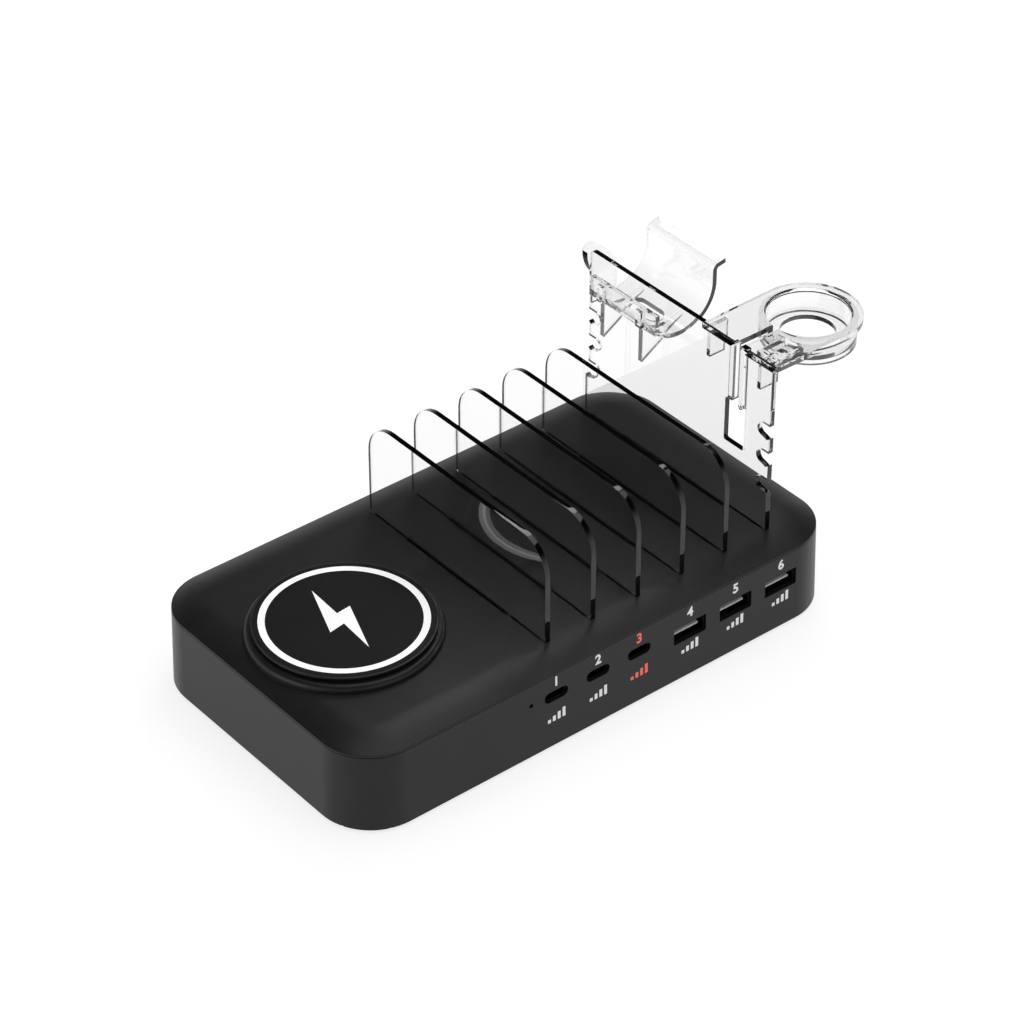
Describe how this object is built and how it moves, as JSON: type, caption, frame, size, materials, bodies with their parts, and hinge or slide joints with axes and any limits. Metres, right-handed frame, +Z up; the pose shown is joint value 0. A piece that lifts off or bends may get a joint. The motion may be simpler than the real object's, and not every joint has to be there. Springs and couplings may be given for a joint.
{
  "type": "charging station organizer",
  "caption": "Desktop charging station with a round wireless pad, USB sockets, clear upright dividers, an earbud tray and a watch holder.",
  "frame": {"origin": "on the table under the middle of the object's own box", "axes": "+X along the case from the charging pad to the tall clear plate, +Z up, the USB sockets look along -Y"},
  "size_m": [0.2255, 0.1136, 0.0982],
  "materials": {
    "case_plastic": "fine spark-eroded texture, satin",
    "pad_plastic": "satin moulded plastic",
    "pad_film": "smooth hard-coated face with white print",
    "clear_acrylic": "clear cut sheet with polished edges",
    "clear_moulding": "clear injection moulding",
    "foot_rubber": "matt black",
    "insulator_plastic": "glass-filled nylon",
    "plated_brass": "nickel-plated pins",
    "drawn_steel": "plated steel",
    "copper_wire": "enamelled copper wire",
    "ferrite": "matt sintered ferrite",
    "board_laminate": "green solder mask",
    "lead_insulation": "silicone wire insulation",
    "can_aluminium": "plain aluminium",
    "fuse_glass": "glass tube with metal caps",
    "light_pipe_plastic": "smoked polycarbonate"
  },
  "bodies": {
    "base": {"lower_case": "case_plastic", "top_cover": "case_plastic", "pad_shell": "pad_plastic", "pad_face": "pad_film", "rubber_feet": "foot_rubber", "power_inlet": "insulator_plastic", "inlet_pins": "plated_brass", "usb_c_shells": "drawn_steel", "usb_c_tongues": "insulator_plastic", "usb_a_shells": "drawn_steel", "usb_a_tongues": "insulator_plastic", "charging_coil": "copper_wire", "ferrite_disc": "ferrite", "coil_board": "board_laminate", "coil_leads": "lead_insulation", "main_board": "board_laminate", "board_screws": "drawn_steel", "transformer_core": "ferrite", "transformer_winding": "copper_wire", "bulk_capacitors": "can_aluminium", "output_capacitors": "can_aluminium", "choke": "ferrite", "fuse": "fuse_glass", "heat_sink": "can_aluminium", "output_board": "board_laminate", "case_screws": "drawn_steel", "light_pipe": "light_pipe_plastic"},
    "back_plate": {"back_plate": "clear_acrylic"},
    "earbud_tray": {"earbud_tray": "clear_moulding"},
    "watch_holder": {"watch_holder": "clear_moulding"},
    "divider_1": {"divider_1": "clear_acrylic"},
    "divider_2": {"divider_2": "clear_acrylic"},
    "divider_3": {"divider_3": "clear_acrylic"},
    "divider_4": {"divider_4": "clear_acrylic"},
    "divider_5": {"divider_5": "clear_acrylic"}
  },
  "joints": [
    {"name": "divider_1_lift", "type": "slide", "parent": "base", "child": "divider_1", "axis": [0, 0, 1], "range_m": [0, 0.05]},
    {"name": "divider_2_lift", "type": "slide", "parent": "base", "child": "divider_2", "axis": [0, 0, 1], "range_m": [0, 0.05]},
    {"name": "divider_3_lift", "type": "slide", "parent": "base", "child": "divider_3", "axis": [0, 0, 1], "range_m": [0, 0.05]},
    {"name": "divider_4_lift", "type": "slide", "parent": "base", "child": "divider_4", "axis": [0, 0, 1], "range_m": [0, 0.05]},
    {"name": "divider_5_lift", "type": "slide", "parent": "base", "child": "divider_5", "axis": [0, 0, 1], "range_m": [0, 0.05]},
    {"name": "back_plate_lift", "type": "slide", "parent": "base", "child": "back_plate", "axis": [0, 0, 1], "range_m": [0, 0.05]},
    {"name": "watch_holder_lift", "type": "slide", "parent": "back_plate", "child": "watch_holder", "axis": [0, 0, 1], "range_m": [0, 0.03]},
    {"name": "earbud_tray_pull", "type": "slide", "parent": "back_plate", "child": "earbud_tray", "axis": [1, 0, 0], "range_m": [0, 0.03]}
  ]
}
